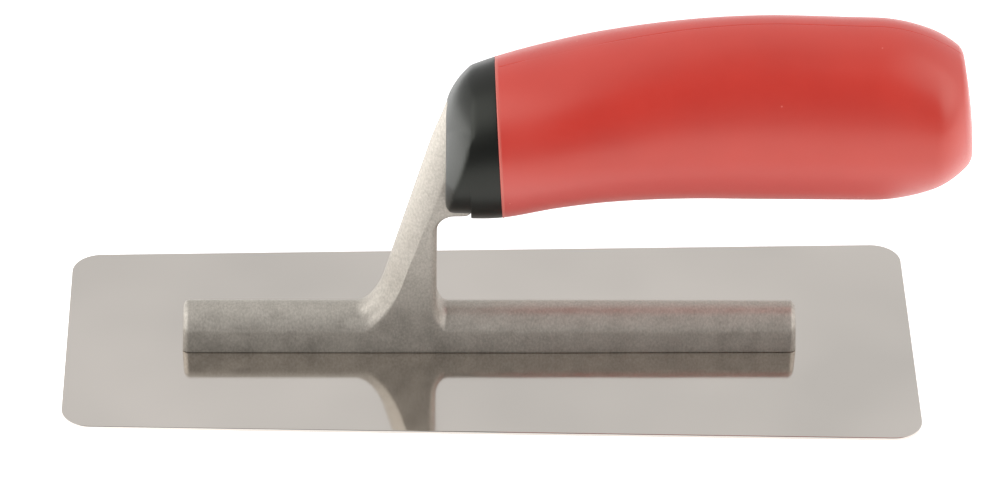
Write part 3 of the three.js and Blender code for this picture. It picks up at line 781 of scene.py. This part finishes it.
def through_stations(share, values):
    """Cubic pieces through the stations: the slope at each is the mean of the slopes on its two sides."""
    width = np.diff(STATION_SHARE)
    rise = np.diff(values) / width
    slope = np.concatenate([rise[:1], (rise[:-1] + rise[1:]) / 2, rise[-1:]])
    i = np.clip(np.searchsorted(STATION_SHARE, share, side="right") - 1, 0, len(width) - 1)
    t = (share - STATION_SHARE[i]) / width[i]
    return ((2 * t ** 3 - 3 * t ** 2 + 1) * values[i] + (t ** 3 - 2 * t ** 2 + t) * width[i] * slope[i]
            + (3 * t ** 2 - 2 * t ** 3) * values[i + 1] + (t ** 3 - t ** 2) * width[i] * slope[i + 1])


def end_drawn_in(x, stretch, radius):
    """How far the last stretch before the heel end has drawn in at x, along a parabola."""
    return np.maximum(0, x - GRIP_END + stretch) ** 2 / (2 * radius)


def handle_section(x, height=0.0):
    """The handle's outside at x: height of its middle, reach up, reach down and half width. They are the
    same at any height on the section."""
    share = (x - GRIP_FRONT) / (GRIP_END - GRIP_FRONT)
    middle = HANDLE_BASE + HANDLE_HEIGHT * through_stations(share, STATION_CENTRE)
    reach = HANDLE_HEIGHT / 2 * through_stations(share, STATION_HEIGHT)
    reach = reach - end_drawn_in(x, END_TOP_STRETCH, END_TOP_RADIUS)
    side = HANDLE_WIDTH / 2 * through_stations(share, STATION_WIDTH)
    side = side - end_drawn_in(x, END_SIDE_STRETCH, END_SIDE_RADIUS)
    return middle, reach, reach, side


def drawn_in(radius, depth, power=2.0):
    """How far a rounded edge has drawn in, at a depth behind the face that it starts from: a circle's arc
    for power 2, nearer to a chamfer below it."""
    left = np.clip(radius - depth, 0, radius) / radius
    return radius * (1 - (1 - left ** power) ** (1 / power))


def nose_section(x, height=0.0):
    """The same for the nose in front of the collar: higher underneath, rounded towards its front. Its
    side edges are tight at the bottom and wide at the top, where height, from -1 to 1, is 1."""
    middle, up, down, side = handle_section(x)
    depth = np.maximum(x - NOSE_FRONT, 0)
    edge = np.interp(height, NOSE_EDGE_AT, NOSE_EDGE_RADIUS)
    up = up - drawn_in(NOSE_TOP_RADIUS, depth) * NOSE_TOP_DROP / NOSE_TOP_RADIUS
    down = down - COLLAR_STEP - drawn_in(NOSE_BOTTOM_RADIUS, depth)
    return middle, up, down, side - NOSE_TAPER * drawn_in(edge, depth, NOSE_SIDE_POWER)


def stepped_section(share):
    """The section on the way from the nose, share 0, to the collar, share 1: only its underside drops."""
    def section(x, height=0.0):
        middle, up, down, side = nose_section(x, height)
        return middle, up, down + share * COLLAR_STEP, side
    return section


def lean_at(x):
    """Slope of the sections: upright at the nose's front, then more and more leaning to the heel end."""
    degrees = np.interp(x, (NOSE_FRONT, GRIP_FRONT, GRIP_END), (0, JOINT_LEAN, END_LEAN))
    return np.tan(np.radians(degrees))


def handle_ring(x, angle, section=handle_section, inset=0.0, share=1.0, push=0.0):
    """A superellipse ring round the middle line at x. inset draws it in, share shrinks it, and push
    moves it towards the heel end."""
    across = np.sign(np.cos(angle)) * np.abs(np.cos(angle)) ** (2 / SECTION_POWER) * share
    height = np.sign(np.sin(angle)) * np.abs(np.sin(angle)) ** (2 / SECTION_POWER) * share
    place = x - lean_at(x) * handle_section(x)[1] * height
    middle, up, down, side = section(place, height)
    reach = np.where(height > 0, up, down) - inset
    return np.stack(np.broadcast_arrays(place + push, across * (side - inset), middle + height * reach), -1)


# The rings have 192 even steps, and finer ones on top and underneath for the grip's parting line.
fine_steps = np.array([-20, -12.5, -8, -5, -2.8, -1.2, 1.2, 2.8, 5, 8, 12.5, 20]) / 1000
ring_angle = np.unique(np.concatenate([np.linspace(0, 2 * math.pi, 193), math.pi / 2 + fine_steps,
                                       3 * math.pi / 2 + fine_steps]))


def core_skin():
    """Front face by shrinking rings, the rounded nose, the step up to the collar, the collar with softened
    edges, and the filling that ends inside the grip."""
    nose_x = NOSE_FRONT + NOSE_TOP_RADIUS * (1 - np.cos(np.linspace(0, math.pi / 2, 19)))
    nose_x = np.concatenate([nose_x[:-3], np.linspace(nose_x[-3], COLLAR_FRONT, 6)[1:]])
    rings = [handle_ring(NOSE_FRONT, ring_angle, nose_section, share=share) for share in (0, 0.25, 0.5, 0.75)]
    rings += [handle_ring(x, ring_angle, nose_section) for x in nose_x]
    rings += [handle_ring(COLLAR_FRONT + STEP_DRAFT * share, ring_angle, stepped_section(share))
              for share in (0.3, 0.6, STEP_UPRIGHT)]
    turn = np.linspace(0, math.pi / 2, 5)[1:]
    for a in turn:
        share = STEP_UPRIGHT + (1 - STEP_UPRIGHT) * math.sin(a)
        rings.append(handle_ring(COLLAR_FRONT + COLLAR_ROUND * (1 - math.cos(a)), ring_angle,
                                 stepped_section(share)))
    collar_x = np.linspace(COLLAR_FRONT + 0.6, GRIP_FRONT - 0.45, 8)
    rings += [handle_ring(x, ring_angle, stepped_section(1)) for x in collar_x]
    back = GRIP_FRONT - JOINT_GAP
    rings += [handle_ring(back - BACK_ROUND * (1 - math.sin(a)), ring_angle,
                          inset=BACK_ROUND * (1 - math.cos(a))) for a in turn]
    rings += [handle_ring(back, ring_angle, inset=FILLING_INSET * share) for share in (0.5, 1)]
    filling_x = np.linspace(GRIP_FRONT, GRIP_END - FILLING_END, 40)
    rings += [handle_ring(x, ring_angle, inset=FILLING_INSET) for x in filling_x]
    rings += [handle_ring(filling_x[-1], ring_angle, inset=FILLING_INSET, share=share)
              for share in (0.6, 0.3, 0)]
    return [np.stack(rings)]


def plastic_finish():
    """Moulded black plastic: nearly black, satin, with a faint spark-eroded grain."""
    plastic, tree, shader, place = new_finish("black_plastic")
    grain = noise(tree, place, scale=2200, detail=2)
    clouds = noise(tree, place, scale=130, detail=2)
    set_inputs(tree, shader, {
        "Base Color": two_tints(tree, clouds, (0.3, 0.7), low=(0.002, 0.002, 0.0019),
                                high=(0.0035, 0.0035, 0.0032)),
        "Roughness": remap(tree, grain, given=(0.3, 0.7), wanted=(0.33, 0.39)),
        "Normal": relief(tree, grain, strength=0.15, distance=0.00004),
        "Specular IOR Level": 0.45,
        "Specular Tint": (0.97, 1, 0.9, 1),
    })
    return plastic


black_plastic = plastic_finish()
make_piece("handle_core", core_skin(), black_plastic, ["handle_core"])

# ---------- grip ----------
# Soft red rubber, moulded over the core as a shell with a closed heel end. It shows the thin rim of
# flash at its front edge and the mould's parting line along its middle plane.

GRIP_WALL, GRIP_END_WALL = 2.7, 5.7
RIM_FRONT = GRIP_FRONT - 0.22
FLASH_RIM = ((0, 1.4), (0, 0.03), (0.02, -0.08), (0.08, -0.14), (0.16, -0.14), (0.26, -0.06), (0.45, 0.02),
             (0.8, 0))  # its rings: distance behind RIM_FRONT, and inset
END_ROUND, END_DOME = 1.5, 0.7
PARTING_DEPTH, PARTING_WIDTH = 0.1, 0.12
PARTING_AT, PARTING_LEFT = (4.5, 6.5, 9, 24, 32), (1.7, 1.2, 0.1, 0.1, 1)  # x, and the share left there
PAINTED_UNDERSIDE_LIGHT = (0.63, 0.068, 0.056, 1)  # painted light: a paler red underneath, in place of the light thrown up from below
PAINTED_LIGHT_HEIGHTS = (0.053, 0.063)  # all of it below the first, none above the second
PALE_FLASH_DUST_AND_HIGHLIGHT = (0.78, 0.22, 0.18, 1)  # thin flash, partly a painted highlight along the rim, and dust
FLASH_HIGHLIGHT_PIVOT = 0.0594  # the band of flash and painted highlight leans about this height
FLASH_HIGHLIGHT_BAND = (0.00035, 0.0007)  # pale up to the first distance behind RIM_FRONT, not at all from the second
FLASH_HIGHLIGHT_SHARE, DUST_SHARE = 0.45, 0.7  # how much of the pale colour they take
DUST_GRID, DUST_RARITY = 260, 0.88  # cells in a metre, and the share of them without a speck
SPECK_RADII = (0.04, 0.07)  # in cells: full up to the first, none from the second


def parting_line(x):
    """Depth of the fine groove that the mould's halves leave on top and underneath: a bell curve across
    it. It was almost rubbed out behind the front, between x 9 and 24."""
    away = np.abs(np.cos(ring_angle)) ** (2 / SECTION_POWER) * HANDLE_WIDTH / 2
    left = np.interp(x, PARTING_AT, PARTING_LEFT)
    return PARTING_DEPTH * left * np.exp(-(away / PARTING_WIDTH) ** 2)


def grip_skin():
    """Outside rings from the front rim to the rounded end, the domed end face, and the inside back to the
    front."""
    rim = [handle_ring(RIM_FRONT + x, ring_angle, inset=inset) for x, inset in FLASH_RIM]
    outside_x = np.linspace(RIM_FRONT + 1.2, GRIP_END - END_ROUND, 120)
    outside = [handle_ring(x, ring_angle, inset=parting_line(x)) for x in outside_x]
    for a in np.linspace(0, math.pi / 2, 9)[1:]:
        inset = END_ROUND * (1 - math.cos(a)) + parting_line(GRIP_END) * math.cos(a)
        outside.append(handle_ring(GRIP_END - END_ROUND * (1 - math.sin(a)), ring_angle, inset=inset))
    face = [handle_ring(GRIP_END, ring_angle, inset=END_ROUND, share=share, push=END_DOME * (1 - share ** 2))
            for share in np.linspace(1, 0, 13)[1:]]
    inside_end = GRIP_END - GRIP_END_WALL
    inside = [handle_ring(inside_end, ring_angle, inset=GRIP_WALL, share=share) for share in (0, 0.5, 0.9)]
    inside += [handle_ring(x, ring_angle, inset=GRIP_WALL) for x in np.linspace(inside_end, RIM_FRONT, 40)]
    return [np.stack(rim + outside + face), np.stack(inside + rim[:1])]


def add_mix(tree, share, first, second):
    """The first colour, with a share of the second mixed in."""
    return add_node(tree, "ShaderNodeMix", {"Factor": share, "A": first, "B": second},
                    data_type="RGBA").outputs["Result"]


def flash_and_highlight_band(tree, axes):
    """1 on the thin flash along the grip's front rim, which leans with the joint, and 0 behind it. Its pale
    colour is partly flash and partly a painted highlight.
    """
    above = add_math(tree, "SUBTRACT", axes.outputs["Z"], FLASH_HIGHLIGHT_PIVOT)
    leaning = add_math(tree, "MULTIPLY", above, math.tan(math.radians(JOINT_LEAN)))
    behind_rim = add_math(tree, "SUBTRACT", add_math(tree, "ADD", axes.outputs["X"], leaning), RIM_FRONT * MM)
    return remap(tree, behind_rim, FLASH_HIGHLIGHT_BAND, (1.0, 0.0))


def dust_specks(tree, place):
    """1 on small round specks in a few of the cells of a random grid, and 0 elsewhere."""
    cells = add_node(tree, "ShaderNodeTexVoronoi", {"Vector": place, "Scale": DUST_GRID, "Randomness": 1})
    drawn = add_node(tree, "ShaderNodeSeparateColor", {0: cells.outputs["Color"]}).outputs[0]
    chosen = add_math(tree, "GREATER_THAN", drawn, DUST_RARITY)
    return add_math(tree, "MULTIPLY", chosen, remap(tree, cells.outputs["Distance"], SPECK_RADII, (1.0, 0.0)))


def rubber_finish():
    """Moulded red rubber: satin, with slight clouds in the colour, an even fine grain, painted light as a
    paler red underneath, pale flash at the front rim that is partly a painted highlight, and a few specks of
    dust."""
    rubber, tree, shader, place = new_finish("red_rubber")
    axes = add_node(tree, "ShaderNodeSeparateXYZ", {0: place})
    clouds = noise(tree, place, scale=60, detail=2)
    tint = two_tints(tree, clouds, (0.3, 0.7), low=(0.565, 0.023, 0.013), high=(0.605, 0.028, 0.016))
    # Painted light: the underside is painted a paler red, as if lit from below.
    red = add_mix(tree, soft_step(tree, axes.outputs["Z"], PAINTED_LIGHT_HEIGHTS), PAINTED_UNDERSIDE_LIGHT, tint)
    # Pale band at the front rim: partly thin flash, partly a painted highlight.
    flash_and_highlight = add_math(tree, "MULTIPLY", flash_and_highlight_band(tree, axes), FLASH_HIGHLIGHT_SHARE)
    dust = add_math(tree, "MULTIPLY", dust_specks(tree, place), DUST_SHARE)
    grain = noise(tree, place, scale=1800, detail=2)
    set_inputs(tree, shader, {
        "Base Color": add_mix(tree, add_math(tree, "MAXIMUM", flash_and_highlight, dust), red, PALE_FLASH_DUST_AND_HIGHLIGHT),
        "Roughness": remap(tree, grain, given=(0.3, 0.7), wanted=(0.35, 0.43)),
        "Normal": relief(tree, grain, strength=0.08, distance=0.00004),
        "Specular IOR Level": 0.9,
        "Specular Tint": (1, 0.96, 0.86, 1),
        "Sheen Weight": 0.15,
        "Sheen Roughness": 0.5,
    })
    return rubber


red_rubber = rubber_finish()
make_piece("grip", grip_skin(), red_rubber, ["grip"])

# ---------- sizes ----------

size = {"cad": cad_corners, "visual": [list(corner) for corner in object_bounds()]}
